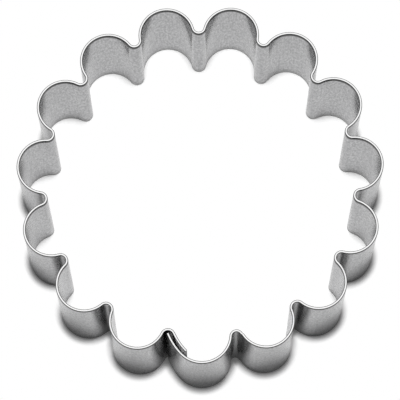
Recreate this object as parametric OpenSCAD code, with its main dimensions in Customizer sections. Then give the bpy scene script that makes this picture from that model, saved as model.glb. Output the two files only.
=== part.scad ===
// Round scalloped biscuit cutter, bent from one long strip of sheet steel.
// The strip runs once round the ring, as wide outward scallops joined by tight inward folds.
// At the front scallop its two ends lap over each other, and spot welds join them there.
// The origin is on the axis of the ring, at the level that the cutter rests on.
// Radii of bends are to the middle of the sheet.

/* [Ring] */
// Outside diameter of the ring, over the tips of the scallops
ring_d = 70; // [56:1:110]
// Height of the ring
ring_h = 25; // [18:1:60]
// Number of scallops round the ring
scallops = 15; // [11:1:22]
// Distance from the tips of the scallops in to the folds
scallop_depth = 5.4; // [4:0.1:7]
// Bend radius of the folds
fold_r = 1.2; // [1:0.1:1.8]
// Thickness of the sheet
sheet = 0.5; // [0.3:0.05:0.7]

/* [Lap] */
// Clear gap between the two layers of sheet
lap_gap = 0.55; // [0.2:0.05:0.9]
// How much larger the bend radius of the lapped scallop is than that of the others
lap_swell = 0.27; // [0:0.01:0.4]
// Bend radius of the inner layer, which is nearly straight
lap_bend_r = 12; // [9:0.5:24]
// How far the inner end runs on from where the outer layer bends into its scallop
inner_overrun = 0.45; // [0:0.05:1.2]
// How far the outer end runs on past the start of the fold beside it
outer_overrun = 0.4; // [0:0.05:0.6]

/* [Welds] */
// Number of spot welds, one above the other
welds = 2; // [2:1:3]
// Diameter of a weld
weld_d = 2.6; // [1.5:0.1:3.2]
// Height from the edge of the sheet to the middle of the nearest weld
weld_edge = 6; // [4:0.5:7.5]

/* [Hidden] */

// Largest distance between a facet and the true arc of a bend
facet_sag = 0.01;
// Direction of the lapped scallop from the axis
front = -90;
// Angle between neighbouring scallops
pitch = 360 / scallops;
// Radius of the circle through the tips
tip_r = (ring_d - sheet) / 2;
// Distance from the axis to the centres of the folds, and its part along a scallop's direction
fold_out = tip_r - scallop_depth + fold_r;
fold_along = fold_out * cos(pitch / 2);
// Bend radius at which the scallops meet the folds smoothly
scallop_r = (tip_r ^ 2 + fold_out ^ 2 - 2 * tip_r * fold_along - fold_r ^ 2)
    / (2 * (tip_r + fold_r - fold_along));
// Distance from the axis to the centres of the scallops
scallop_out = tip_r - scallop_r;

// Bends of the lapped scallop and of the last fold before it
lap_r = scallop_r + lap_swell;
last_fold_r = fold_r - lap_swell / 2;
// Distance between the middles of the two layers
lap_step = sheet + lap_gap;
// Common centre of the two lapped layers
lap_centre = crossing(fold_at(1), fold_r + lap_bend_r, scallop_at(0), lap_bend_r + lap_step - lap_r);
// Directions from that centre to the start of the lapped scallop, the first fold and both ends
lap_start = heading(lap_centre, scallop_at(0));
first_fold = heading(lap_centre, fold_at(1));
inner_end = lap_start + degrees(inner_overrun / lap_bend_r);
outer_end = first_fold - degrees(outer_overrun / lap_bend_r);

// Direction to the welds, in the middle of the stretch where the two layers run side by side
weld_dir = (first_fold + lap_start) / 2;
// Height from one weld to the next
weld_rise = (ring_h - 2 * weld_edge) / (welds - 1);

function degrees(radians) = radians * 180 / PI;
function polar(r, a) = r * [cos(a), sin(a)];
function turn(a) = a - 360 * floor(a / 360);
function heading(from, to) = turn(atan2(to.y - from.y, to.x - from.x));

// The point at distance rp from p and rq from q, on the left of the way from p to q
function crossing(p, rp, q, rq) =
    let (
        d = norm(q - p),
        u = (q - p) / d,
        along = (rp ^ 2 - rq ^ 2 + d ^ 2) / (2 * d),
        aside = sqrt(rp ^ 2 - along ^ 2)
    )
    p + along * u + aside * [-u.y, u.x];

// Centres of the scallops, counted clockwise from the lapped one, which is 0
function scallop_at(i) = polar(scallop_out, front - i * pitch);

// Centres of the folds: fold i lies between scallops i - 1 and i, and the last one before scallop 0
function fold_at(i) = i < scallops ? polar(fold_out, front - (i - 0.5) * pitch) : last_fold_at();

// The last fold keeps its distance from the axis and moves sideways to fit the larger scallop
function last_fold_at() =
    let (
        p = scallop_at(scallops - 1),
        d = norm(scallop_at(0) - p),
        u = (scallop_at(0) - p) / d,
        along = d / 2 - (scallop_r + fold_r) * lap_swell / d,
        aside = (fold_out - scallop_out * cos(pitch / 2)) * sqrt(1 - (lap_swell / d) ^ 2)
    )
    p + along * u + aside * [-u.y, u.x];

// Points along one face of a bend, all but the last, which is the first of the next bend
function bend(centre, r, face, from, sweep) =
    let (steps = ceil(abs(sweep) / (2 * acos(1 - facet_sag / r))))
    [for (i = [0:steps - 1]) centre + polar(r + face, from + sweep * i / steps)];

function fold_bend(i, face) =
    let (
        c = fold_at(i),
        from = heading(c, i == 1 ? lap_centre : scallop_at(i - 1)),
        to = heading(c, scallop_at(i))
    )
    bend(c, i < scallops ? fold_r : last_fold_r, -face, from, turn(to - from));

function scallop_bend(i, face) =
    let (
        c = scallop_at(i),
        from = heading(c, fold_at(i)),
        to = heading(c, fold_at(i + 1))
    )
    bend(c, scallop_r, face, from, -turn(from - to));

function lapped_bend(face) =
    let (from = heading(scallop_at(0), fold_at(scallops)))
    bend(scallop_at(0), lap_r, face, from, -turn(from - lap_start));

// One whole face of the strip, from its inner end clockwise to its outer end
function strip_face(face) = [
    each bend(lap_centre, lap_bend_r, face, inner_end, first_fold - inner_end),
    for (i = [1:scallops - 1]) each concat(fold_bend(i, face), scallop_bend(i, face)),
    each fold_bend(scallops, face),
    each lapped_bend(face),
    each bend(lap_centre, lap_bend_r + lap_step, face, lap_start, outer_end - lap_start),
    lap_centre + polar(lap_bend_r + lap_step + face, outer_end)
];

function backwards(points) = [for (i = [len(points) - 1:-1:0]) points[i]];

module strip() {
    linear_extrude(ring_h)
        polygon(concat(strip_face(sheet / 2), backwards(strip_face(-sheet / 2))));
}

module scalloped_band() {
    color("silver") strip();
}

// Each nugget fills the gap between the two layers, face to face with both
module spot_welds() {
    color("dimgray") difference() {
        for (i = [0:welds - 1])
            translate([lap_centre.x, lap_centre.y, weld_edge + i * weld_rise])
                rotate([0, 90, weld_dir])
                    translate([0, 0, lap_bend_r])
                        cylinder(d = weld_d, h = lap_step, $fn = 48);
        strip();
    }
}

scalloped_band();
spot_welds();
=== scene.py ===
import math

import bpy
from mathutils import Matrix, Vector


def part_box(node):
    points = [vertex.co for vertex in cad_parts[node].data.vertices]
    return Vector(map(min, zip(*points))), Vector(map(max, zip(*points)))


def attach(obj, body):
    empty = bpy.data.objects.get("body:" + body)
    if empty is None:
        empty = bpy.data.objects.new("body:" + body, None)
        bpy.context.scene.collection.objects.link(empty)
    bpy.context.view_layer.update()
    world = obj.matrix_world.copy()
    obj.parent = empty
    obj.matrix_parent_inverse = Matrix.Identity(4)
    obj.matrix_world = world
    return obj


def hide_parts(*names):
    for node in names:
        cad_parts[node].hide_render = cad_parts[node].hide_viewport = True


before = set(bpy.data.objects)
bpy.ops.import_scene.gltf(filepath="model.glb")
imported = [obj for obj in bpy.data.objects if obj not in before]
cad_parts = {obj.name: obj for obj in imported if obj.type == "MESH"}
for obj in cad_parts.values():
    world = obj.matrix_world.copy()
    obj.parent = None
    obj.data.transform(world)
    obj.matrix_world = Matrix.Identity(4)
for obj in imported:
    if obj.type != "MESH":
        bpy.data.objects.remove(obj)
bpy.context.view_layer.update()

MM = 0.001

# Ring, in millimetres, with radii to the middle of the sheet
band_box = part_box("scalloped_band")
ring_h = (band_box[1][2] - band_box[0][2]) / MM
ring_d = 70.0
scallops = 15
scallop_depth = 5.4
fold_r = 1.2
sheet = 0.5

# Lap of the two ends
lap_gap = 0.55
lap_swell = 0.27
lap_bend_r = 12.0
inner_overrun = 0.45
outer_overrun = 0.4

# Welds, and the shallow round marks that the electrodes leave on the faces of the sheet
welds = 2
weld_edge = 6.0
mark_r = 1.5
mark_depth = 0.05

# Painted light inside the lap: a pale colour, with a duller finish, from this far past the fold
lap_fade_start = 0.3
lap_fade_length = 1.2

# Fineness of the mesh
column_step = 0.25
row_step = 3.0
mark_row_step = 0.25
edge_r = 0.13
edge_steps = 4
sharp_angle = math.radians(50)
hair = 0.001

# Parts of the section, as the material reads them
on_wall = 0.0
on_corner = 0.5
on_flat = 1.0

# Third coordinate of the inner face in the pattern, so that its grain differs from the outer face's
inner_place = 40.0

# Width of the band of painted shade along each edge of the strip, dark at the foot and under the rim
edge_shade_width = 0.7
# Reach of the softer painted shade in the pockets and at the foot
pocket_shade_reach = 3.5

# Shades of the steel, and of the painted shade, highlight and light on it, as linear brightness
steel_blue = 0.005
flat_angle_tint = 0.76
cloud_dark = 0.50
cloud_light = 0.56
grain_shade = 0.31
speck_shade = 0.27
drawn_shade = 0.22
# Painted shade: the dark bands along the top and bottom edges, on the outer and the inner face
outer_edge_painted_shade = 0.02
inner_edge_painted_shade = 0.25
# Painted shade in the pockets between the scallops and at the foot
pocket_painted_shade = 0.04
# Painted light: the pale faces inside the lap
lap_painted_light = 1.0
# Painted shade: the dark rounded corners of the sheet
corner_painted_shade = 0.04
# Painted highlight: the bright flat on the rim
flat_painted_highlight = 0.95

# Camera, fitted to the outlines of the rim and the base in the photograph
camera_at = (-0.08, -135.25, 539.48)
camera_aim = (-0.08, -3.79, 25.0)
camera_spin = math.radians(-0.186)
camera_roll = math.radians(-0.4016)
camera_lens = 252.66
camera_sensor = 36.0
camera_near = 10.0

# Light: the share of it that comes from the whole room, and the lamp's size and place
room_level = 0.08
lamp_width = 70.0
lamp_height = 470.0
lamp_back = 15.0

# Floor, with the reach and the fading of the shadow that the camera sees
floor_half = 3000.0
floor_margin = 0.05
hidden_floor_shade = 0.8
shadow_reach = 1.6
shadow_power = 2.2


def polar(r, angle):
    return Vector((r * math.cos(angle), r * math.sin(angle)))


def turn(angle):
    return angle % (2 * math.pi)


def heading(start, end):
    return turn(math.atan2(end.y - start.y, end.x - start.x))


def crossing(p, rp, q, rq):
    """The point at distance rp from p and rq from q, on the left of the way from p to q."""
    way = q - p
    u = way.normalized()
    along = (rp ** 2 - rq ** 2 + way.length ** 2) / (2 * way.length)
    aside = math.sqrt(rp ** 2 - along ** 2)
    return p + along * u + aside * Vector((-u.y, u.x))


# Plan of the strip: centres of its bends
front = math.radians(-90)
pitch = 2 * math.pi / scallops
tip_r = (ring_d - sheet) / 2
fold_out = tip_r - scallop_depth + fold_r
fold_along = fold_out * math.cos(pitch / 2)
scallop_r = tip_r ** 2 + fold_out ** 2 - 2 * tip_r * fold_along - fold_r ** 2
scallop_r /= 2 * (tip_r + fold_r - fold_along)
scallop_out = tip_r - scallop_r
lap_r = scallop_r + lap_swell
last_fold_r = fold_r - lap_swell / 2
lap_step = sheet + lap_gap
scallop_at = [polar(scallop_out, front - i * pitch) for i in range(scallops)]
fold_at = [None] + [polar(fold_out, front - (i - 0.5) * pitch) for i in range(1, scallops)]
fold_at.append(crossing(scallop_at[-1], scallop_r + fold_r, scallop_at[0], lap_r + last_fold_r))
lap_centre = crossing(fold_at[1], fold_r + lap_bend_r, scallop_at[0], lap_bend_r + lap_step - lap_r)
lap_start = heading(lap_centre, scallop_at[0])
first_fold = heading(lap_centre, fold_at[1])
weld_dir = (first_fold + lap_start) / 2
weld_rise = (ring_h - 2 * weld_edge) / (welds - 1)
weld_heights = [weld_edge + i * weld_rise for i in range(welds)]


def plan_bends():
    """The bends of the strip in order, each as its centre, radius, side of the outer face,
    first angle, sweep, and the side of the face with weld marks."""
    inner_end = lap_start + inner_overrun / lap_bend_r
    outer_end = first_fold - outer_overrun / lap_bend_r
    bends = [(lap_centre, lap_bend_r, 1, inner_end, first_fold - inner_end, -1)]
    for i in range(1, scallops + 1):
        c = fold_at[i]
        start = heading(c, lap_centre if i == 1 else scallop_at[i - 1])
        end = heading(c, scallop_at[i % scallops])
        bends.append((c, fold_r if i < scallops else last_fold_r, -1, start, turn(end - start), 0))
        c = scallop_at[i % scallops]
        start = heading(c, fold_at[i])
        end = heading(c, fold_at[i + 1]) if i < scallops else lap_start
        bends.append((c, scallop_r if i < scallops else lap_r, 1, start, -turn(start - end), 0))
    bends.append((lap_centre, lap_bend_r + lap_step, 1, lap_start, outer_end - lap_start, 1))
    return bends


def plan_columns():
    """Places along the strip: (bend, angle, distance along the strip)."""
    columns = []
    run = 0.0
    for bend in plan_bends():
        length = bend[1] * abs(bend[4])
        steps = max(2, math.ceil(length / column_step))
        for i in range(steps):
            columns.append((bend, bend[3] + bend[4] * i / steps, run + length * i / steps))
        run += length
    columns.append((bend, bend[3] + bend[4], run))
    return columns


def wall_rows():
    """Heights of the rows of a wall from bottom to top, closer together at the weld marks."""
    rows = [edge_r]
    while rows[-1] < ring_h - edge_r:
        near = any(abs(rows[-1] - z) < mark_r + mark_row_step for z in weld_heights)
        rows.append(rows[-1] + (mark_row_step if near else row_step))
    rows[-1] = ring_h - edge_r
    return rows


def section():
    """The sheet's cross-section as (offset, height, part): up the outer face, over the rim,
    down the inner face and back under."""
    half = sheet / 2
    inset = half - edge_r
    rows = wall_rows()
    points = [(half, z, on_wall) for z in rows]
    corners = [(inset, rows[-1]), (-inset, rows[-1]), (-inset, rows[0]), (inset, rows[0])]
    for corner, (x, z) in enumerate(corners):
        for i in range(1, edge_steps + 1):
            a = math.radians(90 * (corner + i / edge_steps))
            part = on_flat if i == edge_steps and corner % 2 == 0 else on_corner
            points.append((x + edge_r * math.cos(a), z + edge_r * math.sin(a), part))
        if corner % 2 == 0:
            points.append((-points[-1][0], points[-1][1], on_flat))
        if corner == 1:
            points += [(-half, z, on_wall) for z in reversed(rows[:-1])]
    return points[:-1]


def mark_dent(bend, angle, offset, z):
    """How far a weld mark presses this point of the sheet in."""
    if not bend[5] or offset * bend[5] < sheet / 2 - hair:
        return 0.0
    along = (angle - weld_dir) * bend[1]
    away = min(math.hypot(along, z - height) for height in weld_heights) / mark_r
    if away >= 1:
        return 0.0
    return mark_depth * (1 - away ** 4) ** 2


def lap_face(bend, angle, offset):
    """1 on the two faces that the lap encloses, fading to 0 towards the fold."""
    if not bend[5] or offset * bend[5] > 0:
        return 0.0
    from_fold = (angle - first_fold) * bend[1]
    return min(1.0, max(0.0, (from_fold - lap_fade_start) / lap_fade_length))


def linked(name, data):
    """A new object in the scene."""
    item = bpy.data.objects.new(name, data)
    bpy.context.scene.collection.objects.link(item)
    return item


def build_band():
    """The scalloped strip as a fine mesh, with its place on the strip kept for the steel's pattern."""
    columns = plan_columns()
    ring = section()
    verts = []
    places = []
    parts = []
    laps = []
    for bend, angle, run in columns:
        for offset, z, part in ring:
            depth = mark_dent(bend, angle, offset, z)
            reach = bend[1] + bend[2] * offset - bend[5] * depth
            at = bend[0] + polar(reach, angle)
            verts.append((at.x * MM, at.y * MM, z * MM))
            places.append((run, z, inner_place if offset < 0 else 0.0))
            parts.append(part)
            laps.append(lap_face(bend, angle, offset))
    n = len(ring)
    faces = []
    for c in range(len(columns) - 1):
        for i in range(n):
            a = c * n + i
            b = c * n + (i + 1) % n
            faces.append((a, b, b + n, a + n))
    last = (len(columns) - 1) * n
    faces.append(tuple(range(n - 1, -1, -1)))
    faces.append(tuple(range(last, last + n)))
    mesh = bpy.data.meshes.new("steel_band")
    mesh.from_pydata(verts, [], faces)
    mesh.attributes.new("strip_place", "FLOAT_VECTOR", "POINT").data.foreach_set(
        "vector", [v for place in places for v in place])
    mesh.attributes.new("strip_rim", "FLOAT", "POINT").data.foreach_set("value", parts)
    mesh.attributes.new("strip_lap", "FLOAT", "POINT").data.foreach_set("value", laps)
    mesh.validate()
    mesh.shade_smooth()
    mesh.set_sharp_from_angle(angle=sharp_angle)
    mesh.update()
    return linked("steel_band", mesh)


def new_material(name):
    material = bpy.data.materials.new(name)
    material.use_nodes = True
    tree = material.node_tree
    shader = tree.nodes["Principled BSDF"]
    return material, tree, shader


def add(tree, kind, **values):
    node = tree.nodes.new(kind)
    for key, value in values.items():
        setattr(node, key, value)
    return node


def feed(tree, socket, value):
    """Sets a socket to a value, or links it to another socket."""
    if isinstance(value, bpy.types.NodeSocket):
        tree.links.new(value, socket)
    else:
        socket.default_value = value


def grey(shade, blue=0.0):
    return (shade, shade, shade + blue, 1)


def vector_of(tree, operation, a, b):
    node = add(tree, "ShaderNodeVectorMath", operation=operation)
    feed(tree, node.inputs[0], a)
    feed(tree, node.inputs[1], b)
    return node.outputs["Value" if operation == "DOT_PRODUCT" else "Vector"]


def math_of(tree, operation, a, b):
    node = add(tree, "ShaderNodeMath", operation=operation)
    feed(tree, node.inputs[0], a)
    feed(tree, node.inputs[1], b)
    return node.outputs[0]


def noise(tree, place, stretch, detail=3.0, roughness=0.55):
    """Noise with stretch waves per unit of place in each direction."""
    node = add(tree, "ShaderNodeTexNoise")
    node.inputs["Scale"].default_value = 1.0
    node.inputs["Detail"].default_value = detail
    node.inputs["Roughness"].default_value = roughness
    tree.links.new(vector_of(tree, "MULTIPLY", place, stretch), node.inputs["Vector"])
    return node.outputs["Fac"]


def between(tree, factor, low, high, out_low=0.0, out_high=1.0):
    """Maps low..high of a socket to out_low..out_high, and stays within them."""
    node = add(tree, "ShaderNodeMapRange")
    for key, value in (("From Min", low), ("From Max", high), ("To Min", out_low), ("To Max", out_high)):
        node.inputs[key].default_value = value
    tree.links.new(factor, node.inputs["Value"])
    return node.outputs["Result"]


def mixed(tree, factor, a, b):
    """A colour between the colours a and b."""
    node = add(tree, "ShaderNodeMix", data_type="RGBA")
    feed(tree, node.inputs["Factor"], factor)
    feed(tree, node.inputs[6], a)
    feed(tree, node.inputs[7], b)
    return node.outputs[2]


def mixed_number(tree, factor, a, b):
    """A number between the numbers a and b."""
    node = add(tree, "ShaderNodeMix", data_type="FLOAT")
    feed(tree, node.inputs[0], factor)
    feed(tree, node.inputs[2], a)
    feed(tree, node.inputs[3], b)
    return node.outputs[0]


def openness(tree, reach, samples):
    """1 in the open, and less where other surfaces stand within reach."""
    node = add(tree, "ShaderNodeAmbientOcclusion", samples=samples)
    node.inputs["Distance"].default_value = reach * MM
    return node.outputs["AO"]


def bumped(tree, shader, height, strength, distance):
    node = add(tree, "ShaderNodeBump")
    node.inputs["Strength"].default_value = strength
    node.inputs["Distance"].default_value = distance
    tree.links.new(height, node.inputs["Height"])
    tree.links.new(node.outputs["Normal"], shader.inputs["Normal"])


def band_steel():
    """Satin sheet steel: fine grain, specks and drawn lines, painted shade in the pockets,
    along the edges and on the corners, a painted highlight on the rim's flat, and painted light with a duller
    finish inside the lap."""
    material, tree, shader = new_material("satin_sheet_steel")
    shader.inputs["Metallic"].default_value = 1.0
    shader.inputs["Specular Tint"].default_value = grey(flat_angle_tint)
    place = add(tree, "ShaderNodeAttribute", attribute_name="strip_place").outputs["Vector"]
    part = add(tree, "ShaderNodeAttribute", attribute_name="strip_rim").outputs["Fac"]
    lap = add(tree, "ShaderNodeAttribute", attribute_name="strip_lap").outputs["Fac"]
    axes = add(tree, "ShaderNodeSeparateXYZ")
    tree.links.new(place, axes.inputs[0])

    grain = noise(tree, place, stretch=(0.35, 9.0, 1.0), detail=4.0, roughness=0.65)
    cloud = noise(tree, place, stretch=(0.2, 0.25, 1.0))
    speck = noise(tree, place, stretch=(2.6, 0.9, 1.0), detail=2.0)
    drawn = noise(tree, place, stretch=(1.8, 0.08, 1.0), detail=2.0)
    colour = mixed(tree, between(tree, cloud, low=0.3, high=0.7),
                   grey(cloud_dark, steel_blue), grey(cloud_light, steel_blue))
    grain_share = between(tree, grain, low=0.35, high=0.65, out_high=0.45)
    colour = mixed(tree, grain_share, colour, grey(grain_shade, steel_blue))
    speck_share = between(tree, speck, low=0.35, high=0.65)
    colour = mixed(tree, speck_share, colour, grey(speck_shade, steel_blue))
    drawn_share = between(tree, drawn, low=0.5, high=0.75, out_high=0.4)
    colour = mixed(tree, drawn_share, colour, grey(drawn_shade, steel_blue))

    # Painted shade: a dark band along the top and the bottom edge of the strip, under the rim and at the foot
    from_middle = math_of(tree, "ABSOLUTE", math_of(tree, "SUBTRACT", axes.outputs["Y"], ring_h / 2), 0)
    edge_shade_share = between(tree, from_middle, low=ring_h / 2 - edge_shade_width, high=ring_h / 2 - edge_r)
    inner = between(tree, axes.outputs["Z"], low=0.0, high=inner_place)
    edge_shade_colour = mixed(tree, inner, grey(outer_edge_painted_shade), grey(inner_edge_painted_shade))
    colour = mixed(tree, edge_shade_share, colour, edge_shade_colour)
    # Painted shade where other surfaces stand close: darker in the pockets between the scallops and at the
    # foot
    pocket_openness = openness(tree, pocket_shade_reach, samples=8)
    pocket_shade_share = between(tree, pocket_openness, low=0.3, high=0.85, out_low=0.85, out_high=0.0)
    colour = mixed(tree, pocket_shade_share, colour, grey(pocket_painted_shade))

    # Painted light: the faces inside the lap are painted pale, so that the narrow gap between the layers
    # looks lit
    colour = mixed(tree, lap, colour, grey(lap_painted_light))
    # Painted shade on the rounded corners of the sheet
    colour = mixed(tree, between(tree, part, low=0.0, high=0.2), colour, grey(corner_painted_shade))
    # Painted highlight: the flat top and bottom of the sheet painted bright, giving the white line along the
    # rim
    colour = mixed(tree, between(tree, part, low=0.8, high=1.0), colour, grey(flat_painted_highlight))
    tree.links.new(colour, shader.inputs["Base Color"])
    pattern = math_of(tree, "ADD", grain, speck)
    rough = between(tree, pattern, low=0.6, high=1.4, out_low=0.1, out_high=0.22)
    rough = math_of(tree, "ADD", rough, math_of(tree, "MULTIPLY", lap, 0.75))
    tree.links.new(rough, shader.inputs["Roughness"])
    relief = math_of(tree, "ADD", grain, math_of(tree, "MULTIPLY", speck, 0.5))
    bumped(tree, shader, relief, strength=0.12, distance=0.0001)
    return material


def weld_steel():
    """Dull fused metal with fine pitting."""
    material, tree, shader = new_material("fused_weld_metal")
    shader.inputs["Metallic"].default_value = 1.0
    place = add(tree, "ShaderNodeTexCoord").outputs["Object"]
    pits = noise(tree, place, stretch=(2500.0, 2500.0, 2500.0), detail=4.0, roughness=0.7)
    stain = noise(tree, place, stretch=(600.0, 600.0, 600.0), detail=2.0)
    stained = between(tree, stain, low=0.35, high=0.65)
    colour = mixed(tree, stained, (0.55, 0.54, 0.53, 1), (0.7, 0.7, 0.7, 1))
    tree.links.new(colour, shader.inputs["Base Color"])
    rough = between(tree, pits, low=0.3, high=0.7, out_low=0.35, out_high=0.6)
    tree.links.new(rough, shader.inputs["Roughness"])
    bumped(tree, shader, pits, strength=0.4, distance=0.00005)
    return material


def seen_white(tree):
    """1 for rays from the camera and for rays that metal reflects, else 0."""
    path = add(tree, "ShaderNodeLightPath")
    seen = math_of(tree, "MAXIMUM", path.outputs["Is Camera Ray"], path.outputs["Is Glossy Ray"])
    return math_of(tree, "MAXIMUM", seen, path.outputs["Is Transmission Ray"])


def lamp_loss(tree):
    """The share of the lamp's light that a place on the floor gets less than the lamp's foot."""
    place = add(tree, "ShaderNodeTexCoord").outputs["Object"]
    from_foot = vector_of(tree, "SUBTRACT", place, (0, lamp_back * MM, 0))
    square = vector_of(tree, "DOT_PRODUCT", from_foot, from_foot)
    height_square = (lamp_height * MM) ** 2
    slant = math_of(tree, "DIVIDE", height_square, math_of(tree, "ADD", square, height_square))
    return math_of(tree, "SUBTRACT", 1.0 + floor_margin, math_of(tree, "MULTIPLY", slant, slant))


def build_floor():
    """A plain white floor. A glow makes up for what the lamp loses with distance, so it stays white.
    The camera sees the shadow only close to the ring, and pure white farther out."""
    side = floor_half * MM
    mesh = bpy.data.meshes.new("studio_floor")
    corners = [(-side, -side, 0), (side, -side, 0), (side, side, 0), (-side, side, 0)]
    mesh.from_pydata(corners, [], [(0, 1, 2, 3)])
    floor = linked("studio_floor", mesh)
    material, tree, shader = new_material("white_floor")
    shader.inputs["Roughness"].default_value = 1.0
    shader.inputs["Specular IOR Level"].default_value = 0.0
    shader.inputs["Emission Color"].default_value = grey(1.0)
    seen = seen_white(tree)
    clear = between(tree, openness(tree, shadow_reach, samples=16), low=0.5, high=1.0)
    clear = math_of(tree, "POWER", clear, shadow_power)
    camera_ray = add(tree, "ShaderNodeLightPath").outputs["Is Camera Ray"]
    whitened = math_of(tree, "MULTIPLY", camera_ray, clear)
    colour = mixed(tree, seen, grey(hidden_floor_shade), grey(1.0))
    tree.links.new(mixed(tree, whitened, colour, grey(0.0)), shader.inputs["Base Color"])
    glow = math_of(tree, "MULTIPLY", lamp_loss(tree), 1 - room_level)
    glow = mixed_number(tree, whitened, glow, 1.0)
    tree.links.new(math_of(tree, "MULTIPLY", seen, glow), shader.inputs["Emission Strength"])
    mesh.materials.append(material)


def build_lights():
    """A white room, and a round lamp overhead, close enough that shadows fall outwards all round the ring."""
    world = bpy.data.worlds.new("white_room")
    bpy.context.scene.world = world
    world.use_nodes = True
    tree = world.node_tree
    sky = tree.nodes["Background"]
    tree.links.new(between(tree, seen_white(tree), 0, 1, room_level, 1.0), sky.inputs["Strength"])
    sky.inputs["Color"].default_value = grey(1.0)

    # This power lights a white floor below the lamp to all but the room's share of full brightness
    lamp = bpy.data.lights.new("overhead_lamp", "AREA")
    lamp.shape = "DISK"
    lamp.size = lamp_width * MM
    lamp.energy = (1 - room_level) * math.pi ** 2 * (lamp_height * MM) ** 2
    holder = linked("overhead_lamp", lamp)
    holder.location = (0, lamp_back * MM, lamp_height * MM)
    holder.visible_glossy = False


def build_camera():
    data = bpy.data.cameras.new("camera")
    data.lens = camera_lens
    data.sensor_width = camera_sensor
    data.clip_start = camera_near * MM
    camera = linked("camera", data)
    spin = Matrix.Rotation(camera_spin, 3, "Z")
    at = spin @ Vector(camera_at) * MM
    aim = spin @ Vector(camera_aim) * MM
    look = (aim - at).to_track_quat("-Z", "Y").to_matrix()
    roll = Matrix.Rotation(camera_roll, 3, "Z")
    camera.matrix_world = Matrix.Translation(at) @ (look @ roll).to_4x4()
    bpy.context.scene.camera = camera


bpy.context.scene.view_settings.view_transform = "Standard"
build_camera()
build_floor()
build_lights()

band = build_band()
band.data.materials.append(band_steel())
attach(band, "root")
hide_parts("scalloped_band")

weld_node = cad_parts["spot_welds"]
weld_metal = weld_steel()
if weld_node.material_slots:
    for material_slot in weld_node.material_slots:
        material_slot.material = weld_metal
else:
    weld_node.data.materials.append(weld_metal)
